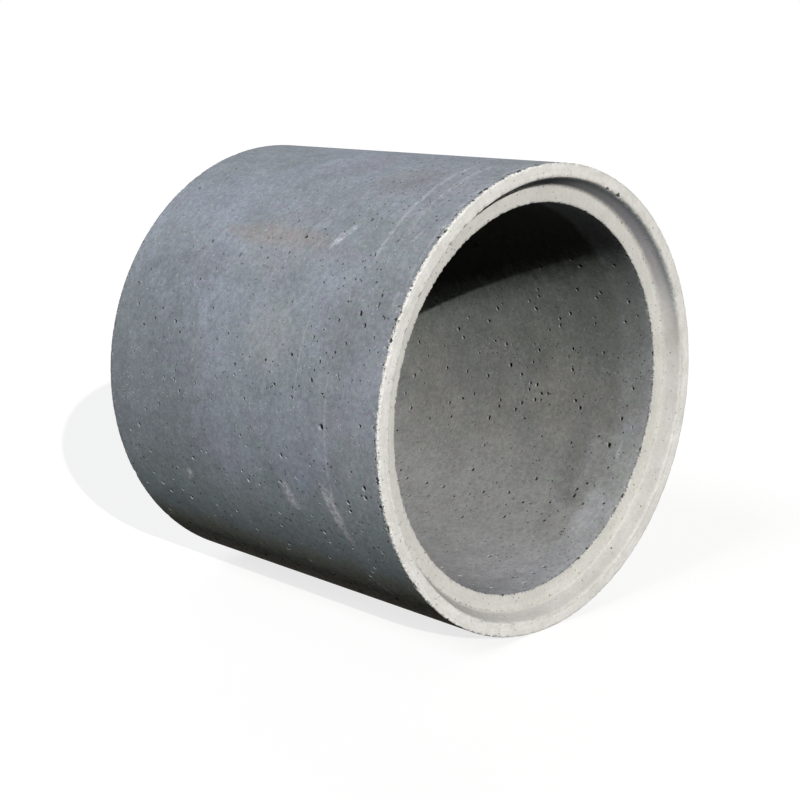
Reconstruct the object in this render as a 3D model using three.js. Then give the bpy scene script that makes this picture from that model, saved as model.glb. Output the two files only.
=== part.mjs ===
// A precast concrete culvert ring: a short round pipe that lies on its side and is
// joined to its neighbours end to end.
//
// It is cast in one piece, so it is one solid: a turned profile of barrel and joint.
// One end is the socket, a tapered rebate cut into the inner half of the wall. The
// other end is the spigot, a tapered tongue that stands out of the inner half of the
// wall and seats in the next ring's socket, with room for mortar or a sealing strip.
//
// Frame: millimetres, +Z up. The ring's axis runs along Y, its socket faces -Y, and
// the origin is on the ground below the middle of its overall length.

import * as THREE from 'three';

// Driving dimensions
const BORE_DIAMETER = 1200;
const WALL_THICKNESS = 120;
const LAYING_LENGTH = 1250; // from the socket's lip to the shoulder behind the spigot

// Socket: a lip round a rebate that narrows towards its seat
const SOCKET_DEPTH = 55;
const LIP_THICKNESS = 42; // at the mouth
const SEAT_WIDTH = 52; // from the bore to the rebate's root

// Spigot: the socket's own taper, less the joint
const JOINT_CLEARANCE = 6; // radially
const SPIGOT_LENGTH = 50; // 5 mm short of the seat

// Edges as the mould leaves them
const ARRIS_RADIUS = 6; // outward corners
const LIP_ARRIS_RADIUS = 4; // the lip's inner corner, struck with a float
const ROOT_RADIUS = 6; // inward corners
const CORNER_STEPS = 3;

// An even number of segments, turned by half a segment, rests on a facet
const SEGMENTS = 96;

const CONCRETE_COLOUR = 0x85898d;

const boreRadius = BORE_DIAMETER / 2;
const outerRadius = boreRadius + WALL_THICKNESS;
const mouthRadius = outerRadius - LIP_THICKNESS;
const seatRadius = boreRadius + SEAT_WIDTH;
const overallLength = LAYING_LENGTH + SPIGOT_LENGTH;
const halfSegment = Math.PI / SEGMENTS;
const axisHeight = outerRadius * Math.cos(halfSegment);

// The corners of half a section, each {radius from the axis, distance from the lip,
// round of the corner}, anticlockwise from the lip's outer corner.
function sectionCorners() {
  const spigotTaper = (mouthRadius - seatRadius) * (SPIGOT_LENGTH / SOCKET_DEPTH);
  const spigotRootRadius = mouthRadius - JOINT_CLEARANCE;
  const spigotTipRadius = spigotRootRadius - spigotTaper;
  return [
    { radius: outerRadius, along: 0, round: ARRIS_RADIUS },
    { radius: outerRadius, along: LAYING_LENGTH, round: ARRIS_RADIUS },
    { radius: spigotRootRadius, along: LAYING_LENGTH, round: ROOT_RADIUS },
    { radius: spigotTipRadius, along: overallLength, round: ARRIS_RADIUS },
    { radius: boreRadius, along: overallLength, round: ARRIS_RADIUS },
    { radius: boreRadius, along: SOCKET_DEPTH, round: ARRIS_RADIUS },
    { radius: seatRadius, along: SOCKET_DEPTH, round: ROOT_RADIUS },
    { radius: mouthRadius, along: 0, round: LIP_ARRIS_RADIUS },
  ];
}

// A closed outline through the corners, with each corner rounded off.
function roundedOutline(corners) {
  const points = corners.map((corner) => new THREE.Vector2(corner.radius, corner.along));
  const outline = new THREE.Path();
  corners.forEach((corner, i) => {
    const here = points[i];
    const before = points.at(i - 1);
    const after = points[(i + 1) % points.length];
    const start = before.clone().sub(here).setLength(corner.round).add(here);
    const end = after.clone().sub(here).setLength(corner.round).add(here);
    if (i === 0) {
      outline.moveTo(start.x, start.y);
    } else {
      outline.lineTo(start.x, start.y);
    }
    outline.quadraticCurveTo(here.x, here.y, end.x, end.y);
  });
  outline.closePath();
  return outline.getPoints(CORNER_STEPS);
}

// The ring is turned about the Y axis, socket first.
function culvertRing() {
  const geometry = new THREE.LatheGeometry(roundedOutline(sectionCorners()), SEGMENTS, halfSegment);
  const concrete = new THREE.MeshStandardMaterial({
    color: CONCRETE_COLOUR,
    roughness: 0.92,
    metalness: 0,
  });
  const ring = new THREE.Mesh(geometry, concrete);
  ring.name = 'culvert_ring';
  ring.position.set(0, -overallLength / 2, axisHeight);
  return ring;
}

const part = new THREE.Group();
part.add(culvertRing());

export default part;
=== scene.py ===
# %% [markdown]
# # A cast concrete culvert ring
# The ring is one heavy casting. It is made in a steel mould that is shaken while it fills, so the mould
# leaves the outside and the bore smooth and grey, with small round holes where air was caught against the
# steel. The ends are struck off and rubbed, so they dry paler and warmer. The rims are thin, and they
# chip as rings are moved about.
#
# The plain solid already has the right section. This lesson makes the skin that is seen: the same section
# with chipped rims and cast air holes in real relief, then the concrete itself, then the light.

# %% Load the plain ring
import math

import bpy
import numpy as np
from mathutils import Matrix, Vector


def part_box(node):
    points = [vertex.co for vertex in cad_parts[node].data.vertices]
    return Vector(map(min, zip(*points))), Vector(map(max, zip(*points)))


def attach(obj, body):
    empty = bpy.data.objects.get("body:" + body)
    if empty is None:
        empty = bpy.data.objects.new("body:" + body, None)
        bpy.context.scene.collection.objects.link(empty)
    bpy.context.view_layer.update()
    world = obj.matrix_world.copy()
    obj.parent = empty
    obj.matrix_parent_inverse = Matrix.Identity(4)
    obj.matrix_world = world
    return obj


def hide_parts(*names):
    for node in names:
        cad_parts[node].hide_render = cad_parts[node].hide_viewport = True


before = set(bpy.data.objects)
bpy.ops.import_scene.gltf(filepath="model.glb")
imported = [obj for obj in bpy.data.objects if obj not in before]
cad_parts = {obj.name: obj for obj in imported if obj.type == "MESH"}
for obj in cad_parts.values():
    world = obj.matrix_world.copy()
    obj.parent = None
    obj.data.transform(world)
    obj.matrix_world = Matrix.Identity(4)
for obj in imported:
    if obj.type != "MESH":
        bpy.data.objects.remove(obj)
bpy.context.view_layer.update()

lowest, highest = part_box("culvert_ring")
print("the plain ring reaches from", [round(v, 4) for v in lowest], "to", [round(v, 4) for v in highest])

# %% [markdown]
# ## The section of the wall
# Cut the ring along its axis and the wall shows as a long strip, 120 mm thick. At one end a rebate is cut
# into its inner half, which is the socket. At the other a tongue stands out, which is the spigot of the
# next joint. A turned part could be made with a Screw modifier on this outline, but then every ring of
# faces would be alike. Working the outline out by arc length lets each row of faces be placed where the
# detail is.

# %% Section of the wall
HAIR = 0.00002  # keeps the round skin just inside the plain ring's flat facets
OUTER_RADIUS = (highest.x - lowest.x) / 2 - HAIR
AXIS_HEIGHT = (highest.z + lowest.z) / 2
LIP_Y = lowest.y + HAIR
LENGTH = highest.y - lowest.y - 2 * HAIR
BORE_RADIUS = 0.600
LAYING_LENGTH = 1.250
SOCKET_DEPTH = 0.055
MOUTH_RADIUS = 0.678
SEAT_RADIUS = 0.652
SPIGOT_ROOT_RADIUS = 0.672
SPIGOT_TIP_RADIUS = 0.6484

# Each corner of the section: radius, distance from the lip, how far its round cuts back on both sides
CORNERS = np.array([
    (OUTER_RADIUS, 0.0, 0.004),
    (OUTER_RADIUS, LAYING_LENGTH, 0.006),
    (SPIGOT_ROOT_RADIUS, LAYING_LENGTH, 0.006),
    (SPIGOT_TIP_RADIUS, LENGTH, 0.006),
    (BORE_RADIUS, LENGTH, 0.006),
    (BORE_RADIUS, SOCKET_DEPTH, 0.004),
    (SEAT_RADIUS, SOCKET_DEPTH, 0.006),
    (MOUTH_RADIUS, 0.0, 0.0025),
])


def rounded_outline(corners, steps):
    """Points and directions round the closed section. At each corner a curve starts one round before the
    corner and ends one round after it: (1-t)^2 start + 2 t (1-t) corner + t^2 end. Its direction is the
    slope of that."""
    corner = corners[:, :2]
    cut = corners[:, 2:]
    before = np.roll(corner, 1, axis=0) - corner
    after = np.roll(corner, -1, axis=0) - corner
    start = corner + before / np.linalg.norm(before, axis=1, keepdims=True) * cut
    end = corner + after / np.linalg.norm(after, axis=1, keepdims=True) * cut
    t = np.linspace(0, 1, steps + 1)[None, :, None]
    start, corner, end = start[:, None], corner[:, None], end[:, None]
    points = (1 - t) ** 2 * start + 2 * t * (1 - t) * corner + t**2 * end
    slopes = (1 - t) * (corner - start) + t * (end - corner)
    slopes = slopes / np.linalg.norm(slopes, axis=2, keepdims=True)
    return points.reshape(-1, 2), slopes.reshape(-1, 2)


CORNER_STEPS = 8
outline, slopes = rounded_outline(CORNERS, CORNER_STEPS)
gaps = np.linalg.norm(np.roll(outline, -1, axis=0) - outline, axis=1)
arc = np.concatenate(([0.0], np.cumsum(gaps)))
ROUND_TRIP = arc[-1]
# The outline and its directions as four lists, each with its first value again at the end
closed = np.hstack((outline, slopes))[np.append(np.arange(len(outline)), 0)].T
station = arc[np.arange(len(CORNERS)) * (CORNER_STEPS + 1) + CORNER_STEPS // 2]
LIP_EDGE, SHOULDER_EDGE, SPIGOT_ROOT, TIP_EDGE, BACK_BORE_EDGE, BORE_EDGE, SEAT_ROOT, MOUTH_EDGE = station
print("round the section:", round(ROUND_TRIP, 4), "m; corners at", np.round(station, 4))


def section_at(along):
    """Radius, distance from the lip, and the outward normal (radial part, axial part) at arc lengths
    along the section. Points and slopes are read off the outline in straight steps; a slope turned right
    is the normal."""
    s = np.mod(along, ROUND_TRIP)
    radius, reach, slope_r, slope_y = (np.interp(s, arc, values) for values in closed)
    size = np.hypot(slope_r, slope_y)
    return radius, reach, slope_y / size, -slope_r / size


# %% [markdown]
# ## Rows of faces
# The skin is a grid: rows follow the section, columns go round the ring. A chipped rim needs faces of 2
# to 4 mm, and for the plain barrel 30 mm will do. An even grid or a Subdivision Surface fine enough for
# the rims would have millions of faces, so each row has its own number of columns. It doubles or halves
# from one row to the next, and the seam between is filled with triangles.

# %% Rows of the grid
BARREL_COLUMNS = 150
QUARTER = 300
HALF = 600
FINE = 1200
FINEST = 2400
PLAIN_STEP = 0.0262


def plain_rows(start, end):
    """Evenly spaced rows from start to end, both kept, no further apart than the plain step."""
    count = math.ceil((end - start) / PLAIN_STEP)
    return [(s, BARREL_COLUMNS) for s in np.linspace(start, end, count + 1)]


# Rows by the edges of the section: the edge, distances from it in millimetres, columns
ROWS_BY_EDGES = (
    (LIP_EDGE, (0, 1.5, 3), FINEST),
    (LIP_EDGE, (4.5, 6.5, 9, 12, 16, 21), FINE),
    (LIP_EDGE, (28,), HALF),
    (LIP_EDGE, (38,), QUARTER),
    (SHOULDER_EDGE, (-24, -14), QUARTER),
    (SHOULDER_EDGE, (-8, -4, -1.5, 0.5, 3), HALF),
    (SHOULDER_EDGE, (7, 19, 32), QUARTER),
    (SPIGOT_ROOT, (-4.5, -1.5, 1.5, 4.5, 15, 28), QUARTER),
    (TIP_EDGE, (-15,), QUARTER),
    (TIP_EDGE, (-6, -3, -1, 1, 3, 6), HALF),
    (TIP_EDGE, (14, 30), QUARTER),
    (BACK_BORE_EDGE, (-10,), QUARTER),
    (BACK_BORE_EDGE, (-5, -2.5, -0.7, 1, 3, 6), HALF),
    (BACK_BORE_EDGE, (20,), QUARTER),
    (BORE_EDGE, (-26,), QUARTER),
    (BORE_EDGE, (-16,), HALF),
    (BORE_EDGE, (-9, -5, -3, -1.2, 0, 1.2, 3, 5, 8), FINE),
    (BORE_EDGE, (12,), HALF),
    (BORE_EDGE, (19, 33), QUARTER),
    (SEAT_ROOT, (-10, -4.5, -1.5, 1.5, 4.5, 14, 27, 41), QUARTER),
    (MOUTH_EDGE, (-8,), HALF),
    (MOUTH_EDGE, (-4.5, -2, -0.5, 1, 3), FINE),
    (MOUTH_EDGE, (6,), HALF),
    (MOUTH_EDGE, (12, 25), QUARTER),
    (ROUND_TRIP + LIP_EDGE, (-10,), HALF),
    (ROUND_TRIP + LIP_EDGE, (-6.5, -4.5, -3), FINE),
    (ROUND_TRIP + LIP_EDGE, (-1.5,), FINEST),
)
rows = plain_rows(LIP_EDGE + 0.056, SHOULDER_EDGE - 0.040)
rows += plain_rows(BACK_BORE_EDGE + 0.042, BORE_EDGE - 0.042)
for edge, offsets, columns in ROWS_BY_EDGES:
    rows += [(edge + millimetres / 1000, columns) for millimetres in offsets]
rows.sort()

row_place = np.array([s for s, _ in rows])
row_columns = np.array([columns for _, columns in rows])
row_first = np.concatenate(([0], np.cumsum(row_columns)))[:-1]
POINTS = int(row_columns.sum())
closest = np.diff(row_place).min() * 1000
print(len(rows), "rows,", POINTS, "points, closest rows", round(closest, 2), "mm apart")

# %% [markdown]
# On the plain parts each point strays a few millimetres, at random, along the surface. Holes stand inside
# faces later on, and in an exact grid they would line up in rows, which the eye finds at once.

# %% Points stray on the plain parts
rng = np.random.default_rng(720)
STRAY = 0.22  # of the width or the height of a face
FACE_HEIGHT = 0.026
plain = row_columns == BARREL_COLUMNS
plain &= np.roll(plain, 1) & np.roll(plain, -1)
straying = np.repeat(plain, row_columns) * STRAY
point_angle = np.concatenate([np.arange(n) * (2 * np.pi / n) for n in row_columns])
point_angle += straying * rng.uniform(-1, 1, POINTS) * 2 * np.pi / BARREL_COLUMNS
point_place = np.repeat(row_place, row_columns)
point_place += straying * rng.uniform(-1, 1, POINTS) * FACE_HEIGHT
print(int((straying > 0).sum()), "points stray")

# %% [markdown]
# ## Chips and wear on the rims
# A rim breaks in shallow scoops where it is knocked, and between them it is ragged by a millimetre or
# two, because the sand and stone in the concrete let go one grain at a time. Both only take material
# away. A Displace modifier could do it with a texture, but scoops of known size and place look more like
# blows.

# %% How deep the rims are worn
def ripple(angle, across, lowest_wave, highest_wave, slant, count=40):
    """A wavy field with no seam: the sum of many cosines over the square root of their number. Their wave
    counts round the ring are whole numbers, and each is slanted across the rim. Most of it lies between
    -1.5 and 1.5."""
    waves = rng.integers(lowest_wave, highest_wave, count)
    tilt = rng.normal(0, slant, count)
    phase = rng.uniform(0, 2 * np.pi, count)
    field = np.zeros(np.broadcast(angle, across).shape)
    for wave, lean, start in zip(waves, tilt, phase):
        field += np.cos(wave * angle + lean * across + start)
    return field / math.sqrt(count)


def scoops(angle, across, radius, count, length, reach, depth, middle=(0.0, 0.0)):
    """Depth of many bowl-shaped chips: for each, depth * sqrt(1 - (arc/length)^2 - (across/reach)^2)
    inside its oval and nothing outside it. The deepest chip wins where they overlap. Sizes follow a
    few-large, many-small rule, and the middles lie between two distances from the edge."""
    where = rng.uniform(0, 2 * np.pi, count)
    size = rng.uniform(0.25, 1, count) ** 2.2 + 0.12
    offsets = rng.normal(0, 0.25, count) * reach + rng.uniform(*middle, count)
    deep = np.zeros(np.broadcast(angle, across).shape)
    for centre, scale, offset in zip(where, size, offsets):
        arc_away = (np.mod(angle - centre + np.pi, 2 * np.pi) - np.pi) * radius
        inside = 1 - (arc_away / (length * scale)) ** 2 - ((across - offset) / (reach * scale)) ** 2
        deep = np.maximum(deep, depth * scale * np.sqrt(np.clip(inside, 0, None)))
    return deep


# Each worn edge: arc length, radius, number of chips, chip length, reach and depth, depth of ragged wear
WORN_EDGES = (
    (LIP_EDGE, OUTER_RADIUS, 620, 0.0075, 0.0056, 0.0034, 0.0014),
    (MOUTH_EDGE, MOUTH_RADIUS, 110, 0.009, 0.0050, 0.0028, 0.0007),
    (BORE_EDGE, BORE_RADIUS, 420, 0.0058, 0.0048, 0.0030, 0.0011),
    (SHOULDER_EDGE, OUTER_RADIUS, 50, 0.012, 0.0060, 0.0026, 0.0005),
    (TIP_EDGE, SPIGOT_TIP_RADIUS, 80, 0.014, 0.0080, 0.0045, 0.0007),
    (BACK_BORE_EDGE, BORE_RADIUS, 60, 0.012, 0.0060, 0.0035, 0.0006),
)
EDGE_REACH = 0.024  # wear goes no further from its edge than this
LIP_SIDE = 0.5  # along the section, between the lip's wear and the next edge's

chipped = np.zeros(POINTS)
pitted = np.zeros(POINTS)
for edge, radius, count, length, reach, depth, rag in WORN_EDGES:
    across = np.mod(point_place - edge + ROUND_TRIP / 2, ROUND_TRIP) - ROUND_TRIP / 2
    near = np.abs(across) < EDGE_REACH
    angle, across = point_angle[near], across[near]
    chips = scoops(angle, across, radius, count, length, reach, depth)
    coarse = ripple(angle, across, 90, 300, 120)
    fine = ripple(angle, across, 300, 1000, 300)
    ragged = rag * np.clip(0.5 * coarse + 0.8 * fine + 0.2, 0, None) * np.exp(-((across / 0.0045) ** 2))
    chipped[near] = np.maximum(chipped[near], np.maximum(chips, ragged))
    if edge in (LIP_EDGE, BORE_EDGE):
        side = (0.004, 0.019) if edge == LIP_EDGE else (-0.008, -0.003)
        crumbs = scoops(angle, across, radius, 260, 0.0045, 0.0040, 0.0022, side)
        chipped[near] = np.maximum(chipped[near], crumbs)
        pit_count, deepest = (170, 0.0046) if edge == LIP_EDGE else (90, 0.0032)
        pits = scoops(angle, across, radius, pit_count, 0.0064, 0.0054, deepest, side)
        pitted[near] = np.maximum(pitted[near], pits)
# The lip's left side was dragged and knocked, its right side hardly: 0.3 + 0.7 times (0.5 - 0.7 cos
# angle), which is held between 0 and 1
knocks = 0.3 + 0.7 * np.clip(0.5 - 0.7 * np.cos(point_angle), 0, 1)
by_lip = (point_place < LIP_SIDE) | (point_place > MOUTH_EDGE + 0.02)
chipped *= np.where(by_lip, knocks, 1.0)

# Each broken spot: the edge it is on, angle in degrees, half its width round and across, depth. Two are
# holes in the lip's inner edge, and two are bites out of its outer edge.
BROKEN_SPOTS = (
    (MOUTH_EDGE, 63, 0.009, 0.007, 0.007),
    (MOUTH_EDGE, 68, 0.007, 0.005, 0.005),
    (LIP_EDGE, 217, 0.011, 0.006, 0.005),
    (LIP_EDGE, 200, 0.009, 0.007, 0.006),
)
for edge, degrees, half_round, half_across, depth in BROKEN_SPOTS:
    arc_away = (point_angle - math.radians(degrees)) * OUTER_RADIUS
    inside = 1 - (arc_away / half_round) ** 2 - ((point_place - edge) / half_across) ** 2
    pitted = np.maximum(pitted, depth * np.sqrt(np.clip(inside, 0, None)))
worn = np.maximum(chipped, pitted)
print("points worn by over 0.4 mm:", int((worn > 0.0004).sum()))
print("deepest wear:", round(worn.max() * 1000, 1), "mm")

# %% Points of the skin
radius, reach, out_r, out_y = section_at(point_place)
skin_radius = radius - worn * out_r
skin_reach = reach - worn * out_y


def round_the_axis(angle, radius, reach):
    """A point of the section turned about the axis: x and z go round at the radius, y is the reach from
    the lip."""
    return np.column_stack((
        radius * np.cos(angle),
        LIP_Y + reach,
        AXIS_HEIGHT + radius * np.sin(angle),
    ))


points = round_the_axis(point_angle, skin_radius, skin_reach)
print("skin reaches from", points.min(axis=0).round(4), "to", points.max(axis=0).round(4))

# %% [markdown]
# ## Cast air holes
# Bubbles held against the mould leave round, steep-sided holes, mostly 6 to 12 mm across and now and then
# over 18 mm. They crowd together in places, with few on the crown. Cutting them with a Boolean would be
# slow and untidy. Here a face of the grid is swapped for a small patch: the face's own four corners, the
# hole's mouth, a ring part way down and a floor point. The smallest go straight from mouth to floor.

# %% Which faces get a hole
holes_rng = np.random.default_rng(1200)


def crowding(angle, reach):
    """How likely a hole is: (0.75 + total / 4)^1.5 times 1 - 0.86 crown. The total is a sum of cosines in
    random directions, so that holes gather, and crown is ((1 + sin angle) / 2)^3."""
    total = np.zeros_like(angle)
    for _ in range(12):
        wave = holes_rng.integers(3, 22)
        slant = holes_rng.normal(0, 22)
        total += np.cos(wave * angle + slant * reach + holes_rng.uniform(0, 2 * np.pi))
    crown = np.clip((1 + np.sin(angle)) / 2, 0, 1) ** 3
    return (0.75 + np.clip(total / 4, -0.5, None)) ** 1.5 * (1 - 0.86 * crown)


LEAST_HEIGHT = 0.006  # of a face that can hold a hole


def cells_between(start, end):
    """All faces that can hold a hole, between rows of equal columns, from start to end: (strip, column)
    pairs."""
    found = []
    for i in range(len(rows) - 1):
        tall = row_place[i + 1] - row_place[i] > LEAST_HEIGHT
        fits = start <= row_place[i] and row_place[i + 1] <= end and tall
        if fits and row_columns[i] == row_columns[i + 1]:
            found.append(np.column_stack((np.full(row_columns[i], i), np.arange(row_columns[i]))))
    return np.concatenate(found)


def pick_cells(start, end, count, lean):
    """Random faces for holes. A face's chance is its size, one over its columns squared, times the
    crowding times 1 + lean (exp(-reach / 0.35) + 0.8 down), where down is -sin angle or nought. So a lean
    puts more holes near the lip and low down, and a minus puts fewer there."""
    cells = cells_between(start, end)
    _, reach, _, _ = section_at(row_place[cells[:, 0]])
    angle = (cells[:, 1] + 0.5) * 2 * np.pi / row_columns[cells[:, 0]]
    size = 1 / row_columns[cells[:, 0]] ** 2
    near = np.exp(-reach / 0.35) + 0.8 * np.clip(-np.sin(angle), 0, 1)
    weight = crowding(angle, reach) * (1 + lean * near) * size
    chosen = holes_rng.choice(len(cells), count, replace=False, p=weight / weight.sum())
    return cells[chosen]


def hole_sizes(count, smallest, largest, steepness=3.0):
    """Mouth widths with few large and many small: smallest * (1 - u)^(-1/steepness), held under the
    largest."""
    return np.minimum(smallest * (1 - holes_rng.uniform(0, 1, count)) ** (-1 / steepness), largest)


# Each area: where it starts and ends along the section, how many holes are tried, their least and
# greatest width, and their lean towards the lip and the low side. The areas are the barrel and the bore,
# each with wide and then narrow holes, the lip, the seat, the socket's wall and the spigot.
HOLE_AREAS = (
    (LIP_EDGE + 0.030, SHOULDER_EDGE - 0.014, 920, 0.0098, 0.0180, 1.3),
    (LIP_EDGE + 0.030, SHOULDER_EDGE - 0.014, 840, 0.0060, 0.0068, 1.3),
    (BACK_BORE_EDGE + 0.015, BORE_EDGE - 0.020, 460, 0.0105, 0.0190, -0.25),
    (BACK_BORE_EDGE + 0.015, BORE_EDGE - 0.020, 800, 0.0062, 0.0068, -0.25),
    (MOUTH_EDGE + 0.010, ROUND_TRIP - 0.010, 30, 0.0030, 0.0060, 0.0),
    (BORE_EDGE + 0.016, SEAT_ROOT - 0.008, 34, 0.0034, 0.0075, 0.0),
    (SEAT_ROOT + 0.003, MOUTH_EDGE - 0.008, 34, 0.0034, 0.0075, 0.0),
    (SHOULDER_EDGE + 0.005, BACK_BORE_EDGE - 0.009, 110, 0.0036, 0.0080, 0.0),
)
hole_cells = np.concatenate([pick_cells(start, end, n, lean) for start, end, n, _, _, lean in HOLE_AREAS])
hole_width = np.concatenate([hole_sizes(n, least, most) for _, _, n, least, most, _ in HOLE_AREAS])
print(len(hole_cells), "air holes,", int((hole_width > 0.008).sum()), "of them over 8 mm")

# %% [markdown]
# Some holes are large or stand in a known place, such as the pair by the rim on the side. Chance wouldn't
# put them there, so they are listed one by one: by their angle round the ring, anticlockwise from the
# right seen from the socket end, and their distance from the lip.

# %% Holes in known places
# On the barrel: angle in degrees, distance from the lip in metres, width in metres
KNOWN_BARREL_HOLES = (
    (179, 0.214, 0.024), (190, 0.070, 0.022), (192.5, 0.070, 0.023), (195.5, 0.147, 0.019),
    (198.5, 0.150, 0.019), (188, 0.270, 0.010), (172, 0.225, 0.010), (134, 0.140, 0.011),
    (159, 0.312, 0.012), (141, 0.535, 0.013), (125, 0.520, 0.010), (157, 0.780, 0.012),
    (168, 0.620, 0.012), (172, 0.620, 0.013), (192, 0.800, 0.012), (125, 1.008, 0.014),
    (185, 0.605, 0.012), (173, 0.690, 0.012), (179, 0.730, 0.010), (183, 0.990, 0.012),
    (193.5, 0.510, 0.012), (203, 0.340, 0.011), (209, 0.520, 0.014), (216.5, 0.355, 0.014),
    (208, 0.975, 0.013), (206, 1.110, 0.012), (152, 0.880, 0.010), (144.5, 0.725, 0.010),
    (199, 1.080, 0.012), (176, 0.815, 0.010),
)
# In the bore: the cluster half way up the side, and a few that stand alone
KNOWN_BORE_HOLES = (
    (-16, 0.500, 0.016), (-15.5, 0.525, 0.015), (-17, 0.545, 0.020), (-17.5, 0.510, 0.013),
    (-14, 0.555, 0.016), (-18.5, 0.535, 0.015), (-15, 0.580, 0.014), (-37, 0.690, 0.019),
    (-38, 0.705, 0.014), (-47, 0.700, 0.018), (15.5, 0.540, 0.019), (12, 0.730, 0.019),
    (3, 0.260, 0.014), (4, 0.935, 0.019), (-7, 0.385, 0.016), (2, 0.540, 0.016),
    (-5.5, 0.575, 0.014), (-12, 0.585, 0.016), (-22, 0.620, 0.016), (-23, 0.705, 0.017),
    (-21, 0.825, 0.017), (-54, 0.605, 0.016), (-58, 0.295, 0.014), (-18, 0.170, 0.015),
    (-12, 0.990, 0.014), (-0.5, 0.760, 0.013), (9, 0.885, 0.013), (16, 0.400, 0.016),
    (-60, 0.810, 0.014), (-29, 0.900, 0.013),
)


def cell_under(angle_degrees, reach, on_barrel):
    """The face of the grid that holds a point given by angle and distance from the lip."""
    start, end = (LIP_EDGE, SHOULDER_EDGE) if on_barrel else (BACK_BORE_EDGE, BORE_EDGE)
    s = start + reach if on_barrel else end - (reach - SOCKET_DEPTH)
    strip = int(np.searchsorted(row_place, s) - 1)
    return strip, int(math.radians(angle_degrees) / (2 * np.pi) * row_columns[strip]) % row_columns[strip]


taken = {}
for known_holes, on_barrel in ((KNOWN_BARREL_HOLES, True), (KNOWN_BORE_HOLES, False)):
    for degrees, reach, width in known_holes:
        strip, column = cell_under(degrees, reach, on_barrel)
        if row_columns[strip] == row_columns[strip + 1]:
            taken[strip, column] = width
# Holes in a line with the grid make a pattern. So each hole up to three steps away along a row or a
# column cuts the chance to keep a new one.
STEPS = (-3, -2, -1, 1, 2, 3)
CHANCE_BESIDE = 0.15
for (strip, column), width in zip(hole_cells.tolist(), hole_width.tolist()):
    in_line = [(strip + i, column) for i in STEPS] + [(strip, column + i) for i in STEPS]
    beside = sum(cell in taken for cell in in_line)
    if (strip, column) not in taken and holes_rng.random() < CHANCE_BESIDE**beside:
        taken[strip, column] = width
hole_cells, hole_width = np.array(list(taken)), np.array(list(taken.values()))
by_size = np.argsort(-hole_width, kind="stable")
hole_cells, hole_width = hole_cells[by_size], hole_width[by_size]
NARROW_UP_TO = 0.0069
WIDE_HOLES = int((hole_width > NARROW_UP_TO).sum())
print("holes kept:", len(hole_cells), "and", WIDE_HOLES, "of them have a wall and a floor")

# %% Room for each hole in its face
ROOM_USED = 0.94  # of the distance from the middle of the face to its nearest side
strip, column = hole_cells[:, 0], hole_cells[:, 1]
next_column = (column + 1) % row_columns[strip]
low, high = row_first[strip], row_first[strip + 1]
# The corners lie at about 45, 135, 225 and 315 degrees: up-right, up-left, low-left, low-right
corner_points = np.column_stack((high + next_column, high + column, low + column, low + next_column))
corner_angle = point_angle[corner_points]
# A face that spans the seam has its far corners one turn on
corner_angle += 2 * np.pi * (corner_angle < corner_angle[:, 2:3] - np.pi)
corner_place = point_place[corner_points]
centre_angle, centre_place = corner_angle.mean(axis=1), corner_place.mean(axis=1)
centre_radius, _, hole_out_r, hole_out_y = section_at(centre_place)
corners_flat = np.stack((
    (corner_angle - centre_angle[:, None]) * centre_radius[:, None],
    corner_place - centre_place[:, None],
), axis=2)
sides = np.roll(corners_flat, -1, axis=1) - corners_flat
turned_away = corners_flat[..., 0] * sides[..., 1] - corners_flat[..., 1] * sides[..., 0]
hole_room = (np.abs(turned_away) / np.linalg.norm(sides, axis=2)).min(axis=1) * ROOM_USED
print("room in the faces:", round(hole_room.min() * 1000, 1), "to", round(hole_room.max() * 1000, 1), "mm")

# %% Points of the holes
MOUTH_POINTS = 8
OUTGROWN = 1.1  # a wobbly mouth reaches at most this many times its half length
mouth_angle = np.arange(MOUTH_POINTS) * (2 * np.pi / MOUTH_POINTS)
count = len(hole_cells)
stretch = 1 + holes_rng.gamma(1.2, 0.28, count)
half_long = np.minimum(hole_width / 2 * np.sqrt(stretch), hole_room / OUTGROWN)
half_short = np.minimum(hole_width / 2 / np.sqrt(stretch), half_long)
lean = holes_rng.uniform(0, np.pi, count)
facing = mouth_angle[None, :] - lean[:, None]
# An uneven oval: r = a b / sqrt((b cos)^2 + (a sin)^2), times a random wobble
oval = half_long[:, None] * half_short[:, None] / np.hypot(
    half_short[:, None] * np.cos(facing), half_long[:, None] * np.sin(facing)
)
oval = oval * holes_rng.uniform(0.80, 1.08, (count, MOUTH_POINTS))
spare = np.clip(hole_room - half_long * OUTGROWN, 0, None) * np.sqrt(holes_rng.uniform(0, 1, count))
aside = holes_rng.uniform(0, 2 * np.pi, count)
middle = np.column_stack((spare * np.cos(aside), spare * np.sin(aside)))
depth = half_short * holes_rng.uniform(1.7, 2.5, count)  # about as deep as it is wide


def hole_ring(chosen, size, down):
    """One ring of every chosen hole: its oval shrunk to the given size and sunk by a part of the hole's
    depth. A size of nought gives the single floor point."""
    around = mouth_angle if size else np.zeros(1)
    spread = oval[chosen] * size if size else np.zeros((len(chosen), 1))
    p = middle[chosen, :1] + spread * np.cos(around)
    q = middle[chosen, 1:] + spread * np.sin(around)
    angle = centre_angle[chosen, None] + p / centre_radius[chosen, None]
    r, y, _, _ = section_at(centre_place[chosen, None] + q)
    sink = (depth[chosen] * down)[:, None]
    r, y = r - sink * hole_out_r[chosen, None], y - sink * hole_out_y[chosen, None]
    return round_the_axis(angle.ravel(), r.ravel(), y.ravel()).reshape(len(chosen), -1, 3)


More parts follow.
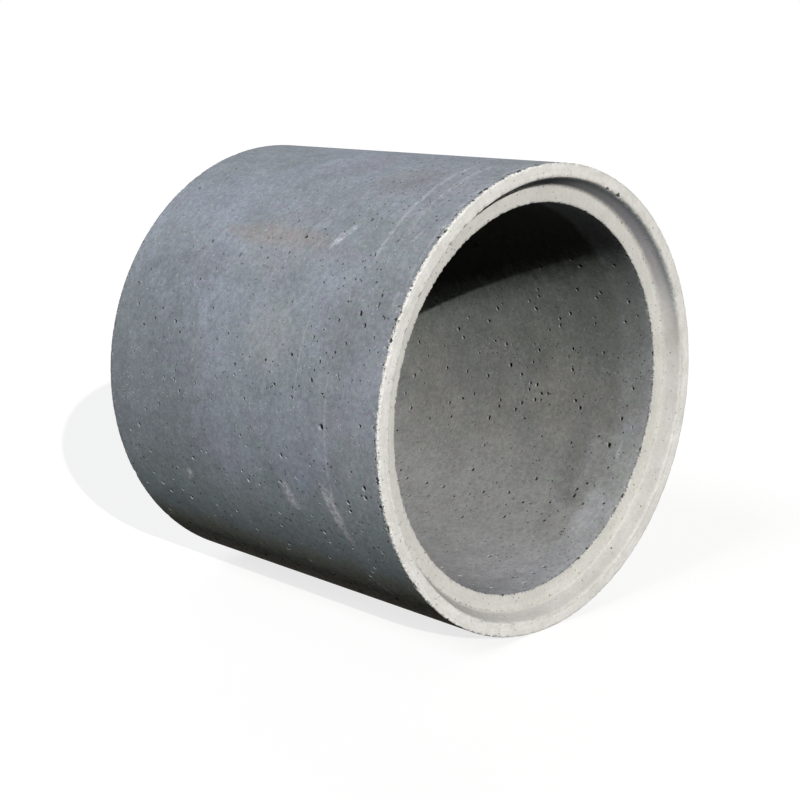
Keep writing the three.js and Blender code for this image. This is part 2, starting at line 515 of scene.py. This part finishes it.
# Size and depth of the mouth, the wall and the floor
MOUTH, WALL, FLOOR = (1.0, 0.0), (0.88, 0.52), (0.0, 1.0)
wide, narrow = np.arange(WIDE_HOLES), np.arange(WIDE_HOLES, count)
wide_rings = np.concatenate([hole_ring(wide, *ring) for ring in (MOUTH, WALL, FLOOR)], axis=1)
narrow_rings = np.concatenate([hole_ring(narrow, *ring) for ring in (MOUTH, FLOOR)], axis=1)
WIDE_POINTS, NARROW_POINTS = wide_rings.shape[1], narrow_rings.shape[1]
points_each = np.where(np.arange(count) < WIDE_HOLES, WIDE_POINTS, NARROW_POINTS)
hole_first = POINTS + np.cumsum(points_each) - points_each
print("points in each wide hole:", WIDE_POINTS, "and in each narrow one:", NARROW_POINTS)

# %% [markdown]
# ## Joining the points
# Between two rows with the same number of columns the faces are plain quads. Where the number changes,
# each wide face becomes a fan of triangles. The faces that a hole replaces are left out, and the hole's
# own triangles join its mouth to the four corners. Bridging edge loops in Edit Mode gives much the same,
# but here whole arrays of corners do it at once. All faces are wound so that they look away from the
# concrete.

# %% Faces between the rows
replaced = np.zeros(POINTS, bool)
replaced[row_first[hole_cells[:, 0]] + hole_cells[:, 1]] = True


def strip_faces(i, k):
    """Faces between row i and the next row k, as lists of corners. Quads run lower, upper, upper next,
    lower next. Where one row has twice the points of the other, the middle point of each pair takes the
    wide edge and its ends take the rest."""
    n, m = row_columns[i], row_columns[k]
    low, high = row_first[i], row_first[k]
    if n == m:
        j = np.arange(n)
        j = j[~replaced[low + j]]
        after = (j + 1) % n
        return [(low + j, high + j, high + after, low + after)]
    j = np.arange(min(n, m))
    after = (j + 1) % min(n, m)
    left, middle, right = 2 * j, 2 * j + 1, (2 * j + 2) % max(n, m)
    if m > n:
        return [
            (low + j, high + left, high + middle),
            (low + j, high + middle, low + after),
            (low + after, high + middle, high + right),
        ]
    return [
        (low + left, high + j, low + middle),
        (low + middle, high + j, high + after),
        (low + middle, high + after, low + right),
    ]


faces = []
for i in range(len(rows)):
    faces += strip_faces(i, (i + 1) % len(rows))
print("faces between rows:", sum(len(corners[0]) for corners in faces))

# %% Faces of the holes
for c in range(4):
    first = hole_first + 2 * c
    second = hole_first + 2 * c + 1
    third = hole_first + (2 * c + 2) % MOUTH_POINTS
    here, onward = corner_points[:, c], corner_points[:, (c + 1) % 4]
    faces += [(here, first, second), (here, second, third), (here, third, onward)]
for m in range(MOUTH_POINTS):
    n = (m + 1) % MOUTH_POINTS
    mouth, mouth_next = hole_first[wide] + m, hole_first[wide] + n
    wall, wall_next = mouth + MOUTH_POINTS, mouth_next + MOUTH_POINTS
    faces.append((mouth, wall, wall_next, mouth_next))
    faces.append((wall, hole_first[wide] + 2 * MOUTH_POINTS, wall_next))
    mouth, mouth_next = hole_first[narrow] + m, hole_first[narrow] + n
    faces.append((mouth, hole_first[narrow] + MOUTH_POINTS, mouth_next))
faces = [np.column_stack(corners) for corners in faces]
triangles = sum(len(f) * (f.shape[1] - 2) for f in faces)
print("triangles in all:", triangles)

# %% [markdown]
# ## The skin as a mesh
# The finish needs to know where it is: on the barrel, in the bore, on an end face, in the joint, down a
# hole or on a chip. Those go in as point attributes. `end_face` is a distance, positive on the struck
# faces and negative off them, so that the finish can make its own ragged line between pale and grey.

# %% Attributes of the finish
all_points = np.vstack((points, wide_rings.reshape(-1, 3), narrow_rings.reshape(-1, 3)))


def distance_into(s, spans, limit=0.03):
    """How far each arc length is inside the nearest span, or how far outside it as a minus, up to the
    limit."""
    best = np.full(len(s), -limit)
    for start, end in spans:
        for lap in (-ROUND_TRIP, 0, ROUND_TRIP):
            best = np.maximum(best, np.minimum(s - start - lap, end + lap - s))
    return np.clip(best, -limit, limit)


end_spans = (
    (MOUTH_EDGE, ROUND_TRIP + LIP_EDGE),
    (BORE_EDGE, SEAT_ROOT),
    (SHOULDER_EDGE, SPIGOT_ROOT),
    (TIP_EDGE, BACK_BORE_EDGE),
)
place = np.concatenate((point_place, np.repeat(centre_place, points_each)))
in_bore = (place > BACK_BORE_EDGE - 0.001) & (place < BORE_EDGE + 0.001)
in_socket = (place > SEAT_ROOT - 0.001) & (place < MOUTH_EDGE)
on_spigot = (place > SPIGOT_ROOT - 0.001) & (place < TIP_EDGE)
# How far down a hole each of its points counts for its colour, a painted highlight just inside the mouth
# and painted shade further down: mouth, wall and floor
down_wide = np.concatenate((np.zeros(MOUTH_POINTS), np.full(MOUTH_POINTS, 0.50), [1.6]))
down_narrow = np.concatenate((np.zeros(MOUTH_POINTS), [1.5]))
down_hole = np.concatenate((np.tile(down_wide, len(wide)), np.tile(down_narrow, len(narrow))))
# Some holes are full of pale paste and some are clean, so their painted shade differs
down_hole *= np.repeat(holes_rng.uniform(0.60, 1.20, count), points_each)
# A pit's colour is painted shade
FULL_PIT, FULL_CHIP = 0.0022, 0.0028  # worn this deep, a spot has all of a pit's or a chip's colour
attributes = {
    "end_face": distance_into(place, end_spans),
    "bore": in_bore.astype(float),
    "joint": (in_socket | on_spigot).astype(float),
    "hole": np.concatenate((np.clip(pitted / FULL_PIT, 0, 0.85), down_hole)),
    "chip": np.concatenate((np.clip(chipped / FULL_CHIP, 0, 1), np.zeros(len(down_hole)))),
}
for label, values in attributes.items():
    print("points with some", label + ":", int((values > 0).sum()))

# %% Make the mesh
SHARP_ANGLE = 42


def make_piece(name, points, faces, attributes):
    """A mesh object at the origin from whole arrays of points and faces, with one number per point for
    each attribute, shaded smooth except where faces meet more sharply than the sharp angle."""
    mesh = bpy.data.meshes.new(name)
    mesh.from_pydata(points.tolist(), [], [face for block in faces for face in block.tolist()])
    for label, values in attributes.items():
        stored = mesh.attributes.new(label, "FLOAT", "POINT")
        stored.data.foreach_set("value", values.astype(np.float32))
    mesh.shade_smooth()
    mesh.set_sharp_from_angle(angle=math.radians(SHARP_ANGLE))
    mesh.validate()
    piece = bpy.data.objects.new(name, mesh)
    bpy.context.scene.collection.objects.link(piece)
    return piece


ring = make_piece("cast_ring", all_points, faces, attributes)
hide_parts("culvert_ring")
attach(ring, "root")
print("cast_ring:", len(ring.data.vertices), "points,", len(ring.data.polygons), "faces")

# %% [markdown]
# ## The concrete
# Concrete is cement paste with sand in it. Its colour drifts in soft clouds where the mix was wetter or
# drier, and fine sand gives it a grain. All of this is worked out from places on the ring itself, so it
# stays put from every side. A painted picture would show its seams on a ring.

# %% Short calls for material nodes
class Finish:
    """A tree of nodes being built. Every call adds a node and gives back the output to use next."""

    def __init__(self, tree):
        self.tree = tree
        self.tree.nodes.clear()

    def node(self, kind, inputs=(), output=0, **settings):
        """Add a node and link or set its inputs. The output given back is named by its number, or is all
        of them when output is None."""
        made = self.tree.nodes.new("ShaderNode" + kind)
        for label, value in settings.items():
            setattr(made, label, value)
        for socket, value in dict(inputs).items():
            if isinstance(value, bpy.types.NodeSocket):
                self.tree.links.new(value, made.inputs[socket])
            else:
                made.inputs[socket].default_value = value
        return made.outputs if output is None else made.outputs[output]

    def scaled(self, spot, scale):
        return self.node("VectorMath", {0: spot, 1: scale}, operation="MULTIPLY")

    def noise(self, spot, scale, detail=3.0, roughness=0.55):
        sizes = {"Vector": spot, "Scale": scale, "Detail": detail, "Roughness": roughness}
        return self.node("TexNoise", sizes)

    def math(self, operation, first, second=0.0, third=0.0):
        return self.node("Math", {0: first, 1: second, 2: third}, operation=operation)

    def times(self, first, second, plus=0.0):
        """First times second, plus what is added."""
        return self.math("MULTIPLY_ADD", first, second, plus)

    def fade(self, value, start, end, low=0.0, high=1.0, kind="SMOOTHSTEP"):
        """From low at the start to high at the end, eased by t^2 (3 - 2 t) unless the kind is linear."""
        span = {"Value": value, "From Min": start, "From Max": end, "To Min": low, "To Max": high}
        return self.node("MapRange", span, interpolation_type=kind)

    def mix(self, amount, first, second, blend="MIX"):
        parts = {0: amount, 6: first, 7: second}
        return self.node("Mix", parts, 2, data_type="RGBA", blend_type=blend)

    def attribute(self, label):
        return self.node("Attribute", output=2, attribute_name=label)


def new_material(name):
    """A material that uses nodes, and the Finish that fills it."""
    material = bpy.data.materials.new(name)
    material.use_nodes = True
    return material, Finish(material.node_tree)


def paint(red, green, blue):
    """A colour given as it looks on a screen, 0 to 255, as the linear value that shaders use."""
    screen = np.array((red, green, blue)) / 255
    linear = np.where(screen <= 0.04045, screen / 12.92, ((screen + 0.055) / 1.055) ** 2.4)
    return (*linear.tolist(), 1.0)


# %% Where a spot is on the ring
cast_concrete, concrete = new_material("cast_concrete")
fade, mix, noise = concrete.fade, concrete.mix, concrete.noise
times, work_out = concrete.times, concrete.math
at_bore, at_joint, at_chip = (concrete.attribute(label) for label in ("bore", "joint", "chip"))
into_end, sunk = concrete.attribute("end_face"), concrete.attribute("hole")
spot = concrete.node("TexCoord", output=3)
side_x, along_y, height_z = concrete.node("SeparateXYZ", {0: spot}, None)
reach_y = work_out("SUBTRACT", along_y, LIP_Y)
over_axis = work_out("SUBTRACT", height_z, AXIS_HEIGHT)
# The angle round the ring, from -90 degrees at the ground to 270 there again, so its seam lies below
turned = work_out("SUBTRACT", math.pi / 2, work_out("ARCTAN2", side_x, over_axis))
wobble = noise(spot, 26.0, 4.0, 0.7)
print("nodes that say where a spot is:", len(concrete.tree.nodes))


def patch(angle_degrees, reach, half_round, half_along, radius, slope=0.0, ragged=2.2):
    """One inside an uneven oval patch and nought outside: (arc/half_round)^2 + (away/half_along)^2, plus
    noise, is faded from 1 down to 0. With a slope the patch leans, by slope metres along for each metre
    round."""
    turn = radius / half_round
    arc = times(turned, turn, -math.radians(angle_degrees) * turn)
    away = times(reach_y, 1 / half_along, -reach / half_along)
    if slope:
        away = times(arc, -slope * half_round / half_along, away)
    squares = times(arc, arc, times(away, away))
    uneven = times(wobble, ragged, squares)
    return fade(uneven, 1.0 + ragged * 0.5, 0.25 + ragged * 0.4)


def with_patches(colour, patches, radius):
    """A colour with patches laid over it, one after another. Each patch: angle, distance from the lip,
    half its width round and along, colour, strength."""
    for angle, reach, half_round, half_along, over, strength in patches:
        where = patch(angle, reach, half_round, half_along, radius)
        colour = mix(times(where, strength), colour, paint(*over))
    return colour


def with_bands(colour, field, bands, limit=1.0):
    """A colour with bands laid over it, one after another. Each band: where on the field it starts and
    where it is full, its strength, and its colour. The limit weakens them all."""
    for start, end, strength, over in bands:
        band = fade(field, start, end, 0.0, strength)
        colour = mix(times(limit, band), colour, paint(*over))
    return colour


# %% [markdown]
# ### The barrel
# The outside is bluish and smooth. It has faint clouds a hand or two across, a dark smudge by the rim
# where it was handled, a brown stain, greener concrete low down and, close to the ground, a dark brown
# that is partly moist earth and partly painted shade.
# The clouds are noise. Each mark could be painted on a texture, but as an oval given by its angle and its
# distance from the lip it stays sharp, and two numbers move it.

# %% Barrel colour
GREY_BLUE = paint(150, 156, 168)
GREY_GREEN = paint(142, 149, 156)

clouds = fade(noise(spot, 3.0, 3.0, 0.55), 0.36, 0.64)
barrel = mix(clouds, GREY_BLUE, GREY_GREEN)
purple_clouds = fade(noise(concrete.scaled(spot, (1.0, 0.7, 1.0)), 5.3, 3.0), 0.48, 0.70, 0, 0.5)
barrel = mix(purple_clouds, barrel, paint(149, 149, 161))

BARREL_PATCHES = (
    (178, 1.090, 0.560, 0.440, (129, 135, 141), 0.84),
    (157, 0.190, 0.150, 0.130, (132, 136, 141), 0.66),
    (150, 0.070, 0.130, 0.075, (130, 135, 140), 0.60),
    (184, 0.160, 0.060, 0.050, (132, 137, 140), 0.35),
    (138, 0.600, 0.170, 0.220, (157, 160, 166), 0.50),
    (136, 0.640, 0.050, 0.300, (157, 152, 150), 0.60),
    (146, 0.870, 0.090, 0.110, (138, 139, 149), 0.50),
    (171, 0.800, 0.110, 0.060, (142, 142, 149), 0.40),
    (161, 0.490, 0.150, 0.130, (160, 163, 169), 0.62),
    (112, 0.330, 0.120, 0.140, (144, 143, 148), 0.50),
    (194, 0.333, 0.040, 0.030, (150, 160, 182), 0.60),
)
barrel = mix(fade(reach_y, 0.50, 0.10, 0.0, 0.35), barrel, paint(148, 152, 155))
barrel = with_patches(barrel, BARREL_PATCHES, OUTER_RADIUS)
# Green, then yellow, then a dark brown of earth and painted shade, each nearer the ground
LOW_BANDS = (
    (0.72, 0.42, 0.60, (140, 152, 152)),
    (0.40, 0.31, 0.60, (136, 134, 112)),
    (0.325, 0.235, 0.95, (54, 48, 38)),
)
barrel = with_bands(barrel, times(wobble, 0.16, height_z), LOW_BANDS)
print("on the barrel:", len(BARREL_PATCHES), "patches and", len(LOW_BANDS), "bands near the ground")

# %% [markdown]
# ### Scuffs and lines on the barrel
# Slings and other rings rub the barrel and leave pale, broken marks. The mould leaves thin pale lines
# that run round it, parallel to the rim. A scuff is a patch with gaps in it, because it only touches the
# high spots.

# %% Scuffs and lines
SCUFF = paint(203, 203, 210)
# Each scuff and line: angle, distance from the lip, half its width round and along, slope, strength
SCUFFS = (
    (134.2, 0.367, 0.062, 0.022, 0.55, 0.90),
    (198.5, 0.408, 0.060, 0.030, -0.35, 1.00),
    (200.2, 0.218, 0.120, 0.030, -0.26, 1.00),
    (206.5, 0.197, 0.055, 0.014, -0.30, 0.60),
    (201.0, 0.900, 0.022, 0.018, 0.0, 0.95),
    (130.5, 0.124, 0.020, 0.012, 0.0, 0.40),
    (132.0, 0.088, 0.028, 0.010, 0.30, 0.40),
    (119.0, 0.318, 0.014, 0.010, 0.0, 0.45),
    (223.0, 0.189, 0.064, 0.010, -0.42, 1.00),
    (148.0, 0.040, 0.050, 0.010, 0.0, 0.25),
)
LINES = (
    (118, 0.193, 0.380, 0.011, 0.0, 0.45),
    (116, 0.133, 0.330, 0.013, 0.0, 0.33),
    (120, 0.026, 0.380, 0.008, 0.0, 0.35),
    (187, 0.213, 0.360, 0.006, -0.01, 0.40),
    (160, 0.345, 0.300, 0.006, 0.0, 0.25),
)
high_spots = fade(noise(spot, 70.0, 4.0, 0.75), 0.40, 0.60, 0.15, 1.0)
for angle, reach, half_round, half_along, slope, strength in SCUFFS + LINES:
    where = patch(angle, reach, half_round, half_along, OUTER_RADIUS, slope, ragged=1.6)
    barrel = mix(times(where, times(high_spots, strength)), barrel, SCUFF)
print("on the barrel:", len(SCUFFS), "scuffs and", len(LINES), "lines")

# %% [markdown]
# ### The bore
# The inside is a more neutral grey. It is greener towards the crown, which stays moist, and pale along the
# bottom where wash water runs. Over the crown it is painted near black as painted shadow of the socket's
# rim, reaching lower the further in. Next to the socket is a paler band, two hands wide. Moisture, wash
# and painted shadow follow height and not chance, so those colours fade with a spot's height, and noise
# frays them.

# %% Bore colour
inner = mix(fade(noise(spot, 4.0, 3.0), 0.36, 0.66), paint(146, 146, 142), paint(137, 139, 137))
bore_height = times(wobble, 0.10, height_z)
inner = mix(fade(bore_height, 0.60, 0.26, 0.0, 0.75), inner, paint(168, 169, 168))
bottom = times(fade(bore_height, 0.30, 0.16), fade(reach_y, 0.56, 0.26, 0.28, 0.75))
inner = mix(bottom, inner, paint(194, 194, 199))
inner = mix(fade(bore_height, 0.62, 0.98, 0.0, 0.7), inner, paint(129, 137, 131))
# Painted shadow of the socket's rim: the crown near black, reaching lower the further in
painted_crown_shadow = fade(times(reach_y, 0.28, bore_height), 1.12, 1.27, 0.0, 0.96)
inner = mix(painted_crown_shadow, inner, paint(25, 24, 21))
by_socket = times(wobble, 0.05, reach_y)
# The pale bands by the socket fade out under the painted shadow
outside_crown_shadow = times(painted_crown_shadow, -0.45, 1.0)
SOCKET_BANDS = ((0.235, 0.190, 0.34, (173, 176, 180)), (0.150, 0.060, 0.32, (186, 189, 193)))
inner = with_bands(inner, by_socket, SOCKET_BANDS, outside_crown_shadow)
BORE_PATCHES = (
    (-30, 0.310, 0.300, 0.070, (128, 131, 130), 0.42),
    (5, 0.290, 0.120, 0.060, (124, 130, 130), 0.55),
    (0, 0.550, 0.110, 0.110, (130, 131, 124), 0.30),
    (-47, 0.282, 0.030, 0.050, (176, 176, 178), 0.35),
    (-79, 0.150, 0.050, 0.050, (196, 198, 206), 0.40),
    (-20, 0.120, 0.060, 0.045, (166, 170, 180), 0.40),
    (-49, 0.110, 0.070, 0.050, (176, 178, 182), 0.40),
    (-27, 0.140, 0.045, 0.008, (200, 202, 214), 0.45),
    (-46, 0.255, 0.045, 0.055, (118, 121, 124), 0.50),
    (-50, 0.150, 0.130, 0.060, (192, 194, 198), 0.60),
    (-81, 0.180, 0.020, 0.030, (206, 206, 208), 0.60),
    (-28, 0.225, 0.100, 0.060, (165, 167, 169), 0.60),
)
inner = with_patches(inner, BORE_PATCHES, BORE_RADIUS)
print("in the bore:", len(BORE_PATCHES), "patches and", len(SOCKET_BANDS), "bands next to the socket")

# %% [markdown]
# ### Struck ends and joint
# The end faces are rubbed smooth with a float that goes round the ring, and are nearly white, most of all
# the lip. The pale finish stops at the rim in a ragged line, which the noise on `end_face` makes. Just
# past it, grime, small gaps in the paste and painted shade make a broken dark line. Up the joint's walls
# the colour goes darker and bluer as painted shade, with the lip's painted shadow near the mouth.

# %% Colour of the ends and the joint
LIP_PALE = paint(240, 239, 236)
SEAT_PALE = paint(216, 215, 210)
JOINT_PALE = paint(207, 205, 203)

from_axis = work_out("SQRT", times(side_x, side_x, times(over_axis, over_axis)))
# A place for marks drawn out round the ring: 170 mm round it for every 11 mm across or along
drawn = concrete.node("CombineXYZ", {0: times(turned, 4.0), 1: from_axis, 2: reach_y})
drawn = concrete.scaled(drawn, (1.0, 90.0, 90.0))
brushed = fade(noise(drawn, 1.0, 4.0, 0.7), 0.30, 0.70)
# The float's marks show most on the left, and on the right the finish dried in soft blotches
drag = fade(side_x, 0.25, -0.25, 0.40, 1.0)
blotches = fade(noise(spot, 8.0, 4.0, 0.6), 0.34, 0.70)
blotches = times(blotches, work_out("SUBTRACT", 1.0, drag))
brushed = times(brushed, drag)

ends = mix(fade(reach_y, 0.006, 0.040), LIP_PALE, SEAT_PALE)
ends = mix(times(brushed, 0.42), ends, paint(203, 202, 197))
ends = mix(fade(noise(spot, 17.0, 4.0, 0.6), 0.46, 0.72, 0, 0.4), ends, paint(200, 200, 196))
ends = mix(times(blotches, 0.7), ends, paint(200, 199, 191))
walls = mix(brushed, JOINT_PALE, paint(189, 188, 185))
walls = mix(times(blotches, 0.9), walls, paint(188, 186, 178))
# Painted shade on the joint's walls: darker and bluer towards the top, where the lip shades them
wall_shade_height = times(wobble, 0.12, height_z)
walls = mix(fade(wall_shade_height, 0.92, 1.30, 0.0, 0.9), walls, paint(163, 162, 170))
# Painted shadow of the lip: near black at the top of the socket's wall, most on the left
painted_lip_shadow = times(fade(wall_shade_height, 1.20, 1.32), fade(side_x, 0.20, -0.02, 0.05, 0.92))
painted_lip_shadow = times(painted_lip_shadow, fade(reach_y, 0.10, 0.08))
walls = mix(painted_lip_shadow, walls, paint(52, 56, 60))
# Painted shadow of the lip on the upper wall just inside the mouth
near_mouth = times(wobble, 0.014, reach_y)
painted_mouth_shade = times(fade(near_mouth, 0.040, 0.010), fade(wall_shade_height, 0.80, 1.15, 0.0, 0.78))
walls = mix(painted_mouth_shade, walls, paint(98, 112, 117))

skin = mix(at_bore, barrel, inner)
skin = mix(at_joint, skin, walls)
off_joint = work_out("SUBTRACT", 1.0, at_joint)
jagged = work_out("SUBTRACT", noise(spot, 115.0, 4.0, 0.95), 0.5)
# The line is more ragged on the left, where the rims were knocked
tear = times(jagged, fade(side_x, 0.15, -0.30, 0.036, 0.062))
end_edge = work_out("ADD", tear, into_end)
# On the barrel side the pale finish runs over the arris for 3 mm, as the float drags it there
on_barrel = times(off_joint, fade(reach_y, 0.035, 0.025))
end_edge = times(on_barrel, 0.003, end_edge)
# A broken dark line just past the pale finish: grime and painted shade along the arris
dirt_and_rim_shade = times(fade(end_edge, -0.0090, -0.0025), off_joint)
broken = fade(noise(spot, 60.0, 3.0, 0.7), 0.42, 0.56, 0.05, 0.75)
skin = mix(times(dirt_and_rim_shade, broken), skin, paint(62, 63, 64))
pale_end = fade(end_edge, -0.0020, -0.0006)
# On the joint's walls the pale finish thins out over a finger's width and has no line
thinned = times(fade(end_edge, -0.014, 0.0), at_joint)
pale_end = work_out("MAXIMUM", pale_end, times(thinned, 0.8))
skin = mix(pale_end, skin, ends)
skin = mix(fade(at_chip, 0.30, 0.85, 0.0, 0.8), skin, paint(216, 214, 208))
# On the right the joint's own corners are grimy and dimmed with painted shade in broken lengths, so their
# lit edges draw no clean bright line
corner = work_out("ABSOLUTE", into_end)
soil_and_shade = times(fade(corner, 0.009, 0.001), fade(wobble, 0.38, 0.58, 0.25, 0.8))
corner_soil_and_shade = times(soil_and_shade, fade(reach_y, 0.062, 0.055))
corner_soil_and_shade = times(corner_soil_and_shade, fade(side_x, -0.20, 0.05))
skin = mix(times(corner_soil_and_shade, pale_end), skin, paint(196, 194, 188))
print("nodes up to the ends and the joint:", len(concrete.tree.nodes))

# %% [markdown]
# ### Grain, sand and pinholes
# Below the size of the cast holes there are pinholes of a millimetre or two, pale sand grains and a fine
# grain. They are too many to model, so they are colour and bump, and the pinholes are painted dark as
# painted shade. A Voronoi cell with a random threshold gives dots that are far apart and all of different
# sizes. The grain is one noise with equal strength at every size, from a finger's width down to sand,
# which is what makes concrete look like stone and not like paint.

# %% Grain, specks and pinholes
rubbed = work_out("MAXIMUM", pale_end, at_joint)
barrel_only = work_out("SUBTRACT", off_joint, work_out("MAXIMUM", rubbed, at_bore))


def dots(scale, share, size):
    """Round dots at random: the distance to a cell's middle against a size that differs from cell to
    cell. Only the given share of cells has a dot at all. One inside a dot, nought outside, with a soft
    edge."""
    cell = concrete.node("TexVoronoi", {"Vector": spot, "Scale": scale}, None)
    lot = concrete.node("SeparateColor", {0: cell[1]}, 0)
    radius = fade(lot, 1 - share, 1.0, 0.0, size)
    return fade(work_out("SUBTRACT", cell[0], radius), 0.04, -0.04)


beyond_rim = times(fade(end_edge, -0.026, -0.004), off_joint)
crumbs = times(dots(105.0, 0.40, 0.36), beyond_rim)
at_rim = times(fade(end_edge, -0.012, -0.004), fade(end_edge, 0.004, 0.001))
at_rim = times(at_rim, off_joint)
rim_pits = times(dots(115.0, 0.42, 0.36), at_rim)
small_holes = times(dots(80.0, 0.32, 0.25), times(rubbed, -0.6, 1.0))
small_holes = times(small_holes, fade(reach_y, 0.90, 0.20, 0.5, 1.0))
# Low on the barrel the paste is poorer, with more and wider small holes
low_holes = times(dots(64.0, 0.34, 0.27), fade(height_z, 0.66, 0.42))
small_holes = work_out("MAXIMUM", small_holes, times(low_holes, barrel_only))
pinholes = work_out("MAXIMUM", small_holes, rim_pits)
sand = times(dots(110.0, 0.22, 0.24), times(at_bore, -0.25, 1.0))
# No pale sand shows in the painted shadow on the crown
sand = times(sand, times(times(painted_crown_shadow, at_bore), -1.0, 1.0))
grain = noise(spot, 420.0, 2.0, 0.6)
mottle = noise(spot, 38.0, 3.0, 0.6)
stony = noise(spot, 62.0, 4.0, 1.0)
drift = noise(spot, 9.0, 3.0, 0.8)

calmer = times(rubbed, -0.65, 1.0)  # the rubbed ends show less of it
shade = fade(stony, 0.36, 0.64, 0.79, 1.23, kind="LINEAR")
shade = times(shade, fade(drift, 0.34, 0.66, 0.91, 1.11, kind="LINEAR"))
shaded = concrete.node("VectorMath", {0: skin, 3: shade}, operation="SCALE")
skin = mix(calmer, skin, shaded)
tint = fade(noise(spot, 58.0, 3.0, 0.8), 0.34, 0.66)
tints = mix(tint, (1.035, 0.975, 1.05, 1.0), (0.96, 1.02, 0.965, 1.0))
skin = mix(calmer, skin, tints, "MULTIPLY")
skin = mix(times(times(sand, calmer), 0.60), skin, paint(222, 224, 226))
skin = mix(times(crumbs, 0.75), skin, paint(218, 216, 210))
# Painted shade in the pinholes, the pits by the rim and the small holes
skin = mix(times(pinholes, 0.80), skin, paint(40, 41, 42))
# A pale rim just inside each hole's mouth, partly fresh paste and partly painted highlight, then painted
# shade down the hole
skin = mix(fade(sunk, 0.0, 0.08, 0.0, 0.16), skin, paint(200, 200, 198))
skin = mix(fade(sunk, 0.07, 0.54, 0.0, 0.85), skin, paint(25, 25, 24))
# The holes at the bottom of the bore get more painted shade, so their lit walls show no white dots
low_hole_shade = times(fade(height_z, 0.52, 0.30), at_bore)
low_hole_shade = times(low_hole_shade, fade(sunk, 0.05, 0.25, 0.0, 0.50))
skin = mix(low_hole_shade, skin, paint(66, 66, 64))

# The relief of it all in metres: grain, mottle and pinholes
height = times(grain, 0.00035)
height = times(mottle, 0.0005, height)
height = times(pinholes, -0.0016, height)
print("nodes up to the pinholes:", len(concrete.tree.nodes))

# %% Surface shader
shader = concrete.node("BsdfPrincipled", {
    "Base Color": skin,
    "Roughness": fade(mottle, 0.3, 0.7, 0.82, 0.94),
    "Specular IOR Level": 0.05,
    "Normal": concrete.node("Bump", {"Strength": 1.0, "Distance": 1.0, "Height": height}),
})
concrete.node("OutputMaterial", {"Surface": shader}, None)
ring.data.materials.append(cast_concrete)
print("nodes in the concrete:", len(concrete.tree.nodes))

# %% [markdown]
# ## Floor, light and camera
# The ring lies on a plain pale floor. One lamp stands for a low sun at the left front, nearly sharp, so
# that the socket's rim throws its edge of shadow across the bore. Soft lamps from the left and from
# behind fill the rest. Area lamps would do too, but a sun lights every spot alike, wherever the ring lies.
# The white of the floor and the sky is shown only to the camera, gloss and glass, so it adds little light.

# %% Floor and backdrop
FLOOR_HALF = 40.0  # far larger than the view


def seen_directly(finish):
    """One for rays from the camera, and for those by way of gloss or glass, and nought for the rest."""
    path = finish.node("LightPath", output=None)
    seen = finish.math("MAXIMUM", path["Is Camera Ray"], path["Is Glossy Ray"])
    return finish.math("MAXIMUM", seen, path["Is Transmission Ray"])


FLOOR_SHOWN = 0.32  # how much of the floor's brightness is lit, so how dark its shadows get
FLOOR_GLOW = 0.775
FLOOR_BOUNCE = (0.03, 0.029, 0.027, 1.0)
floor_corners = np.array([(-1, -1, 0), (1, -1, 0), (1, 1, 0), (-1, 1, 0)]) * FLOOR_HALF
floor = make_piece("floor", floor_corners, [np.array([(0, 1, 2, 3)])], {})
pale_floor, pale = new_material("pale_floor")
lit = pale.node("BsdfDiffuse", {"Color": (FLOOR_SHOWN, FLOOR_SHOWN, FLOOR_SHOWN, 1.0)})
glow = pale.node("Emission", {"Color": (1.0, 1.0, 1.0, 1.0), "Strength": FLOOR_GLOW})
both = pale.node("AddShader", {0: lit, 1: glow})
plain = pale.node("BsdfDiffuse", {"Color": FLOOR_BOUNCE})
surface = pale.node("MixShader", {0: seen_directly(pale), 1: plain, 2: both})
pale.node("OutputMaterial", {"Surface": surface}, None)
floor.data.materials.append(pale_floor)
print("floor:", 2 * FLOOR_HALF, "m wide,", len(pale.tree.nodes), "nodes")

# %% World
SKY_LEVEL = 0.03
world = bpy.data.worlds.new("studio")
bpy.context.scene.world = world
world.use_nodes = True
backdrop = Finish(world.node_tree)
soft = backdrop.node("Background", {"Color": (0.93, 0.97, 1.0, 1.0), "Strength": SKY_LEVEL})
white = backdrop.node("Background", {"Color": (1.0, 1.0, 1.0, 1.0), "Strength": 1.0})
sky = backdrop.node("MixShader", {0: seen_directly(backdrop), 1: soft, 2: white})
backdrop.node("OutputWorld", {"Surface": sky}, None)
print("nodes in the world:", len(backdrop.tree.nodes))

# %% Lamps
from mathutils import Vector


def add_sun(name, towards, strength, spread, colour=(1.0, 1.0, 1.0)):
    """A lamp infinitely far away in the given direction, whose disc is spread degrees across."""
    data = bpy.data.lights.new(name, "SUN")
    data.energy = strength
    data.angle = math.radians(spread)
    data.color = colour
    lamp = bpy.data.objects.new(name, data)
    lamp.rotation_mode = "QUATERNION"
    lamp.rotation_quaternion = Vector(towards).to_track_quat("Z", "Y")
    bpy.context.scene.collection.objects.link(lamp)


add_sun("key", (-0.418, -0.8155, 0.400), 3.2, 0.6, (1.0, 0.985, 0.95))
add_sun("left_fill", (-0.72, 0.0, 0.69), 1.07, 24.0, (0.95, 0.98, 1.0))
add_sun("back_fill", (0.62, 0.62, 0.48), 0.7, 50.0)
print("lamps:", [(lamp.name, round(lamp.energy, 2)) for lamp in bpy.data.lights])

# %% Camera
camera_data = bpy.data.cameras.new("camera")
camera_data.lens = 70.46
camera_data.sensor_width = 36.0
camera_data.clip_end = 200.0
camera = bpy.data.objects.new("camera", camera_data)
camera.location = (-3.559, -3.594, 1.757)
camera.rotation_mode = "QUATERNION"
camera.rotation_quaternion = Vector((0.68786, 0.69246, -0.21758)).to_track_quat("-Z", "Y")
bpy.context.scene.collection.objects.link(camera)
bpy.context.scene.camera = camera
print("camera:", round(camera.location.z, 3), "m above the ground, lens", round(camera_data.lens, 1), "mm")

# %% Plain view transform
bpy.context.scene.view_settings.view_transform = "Standard"
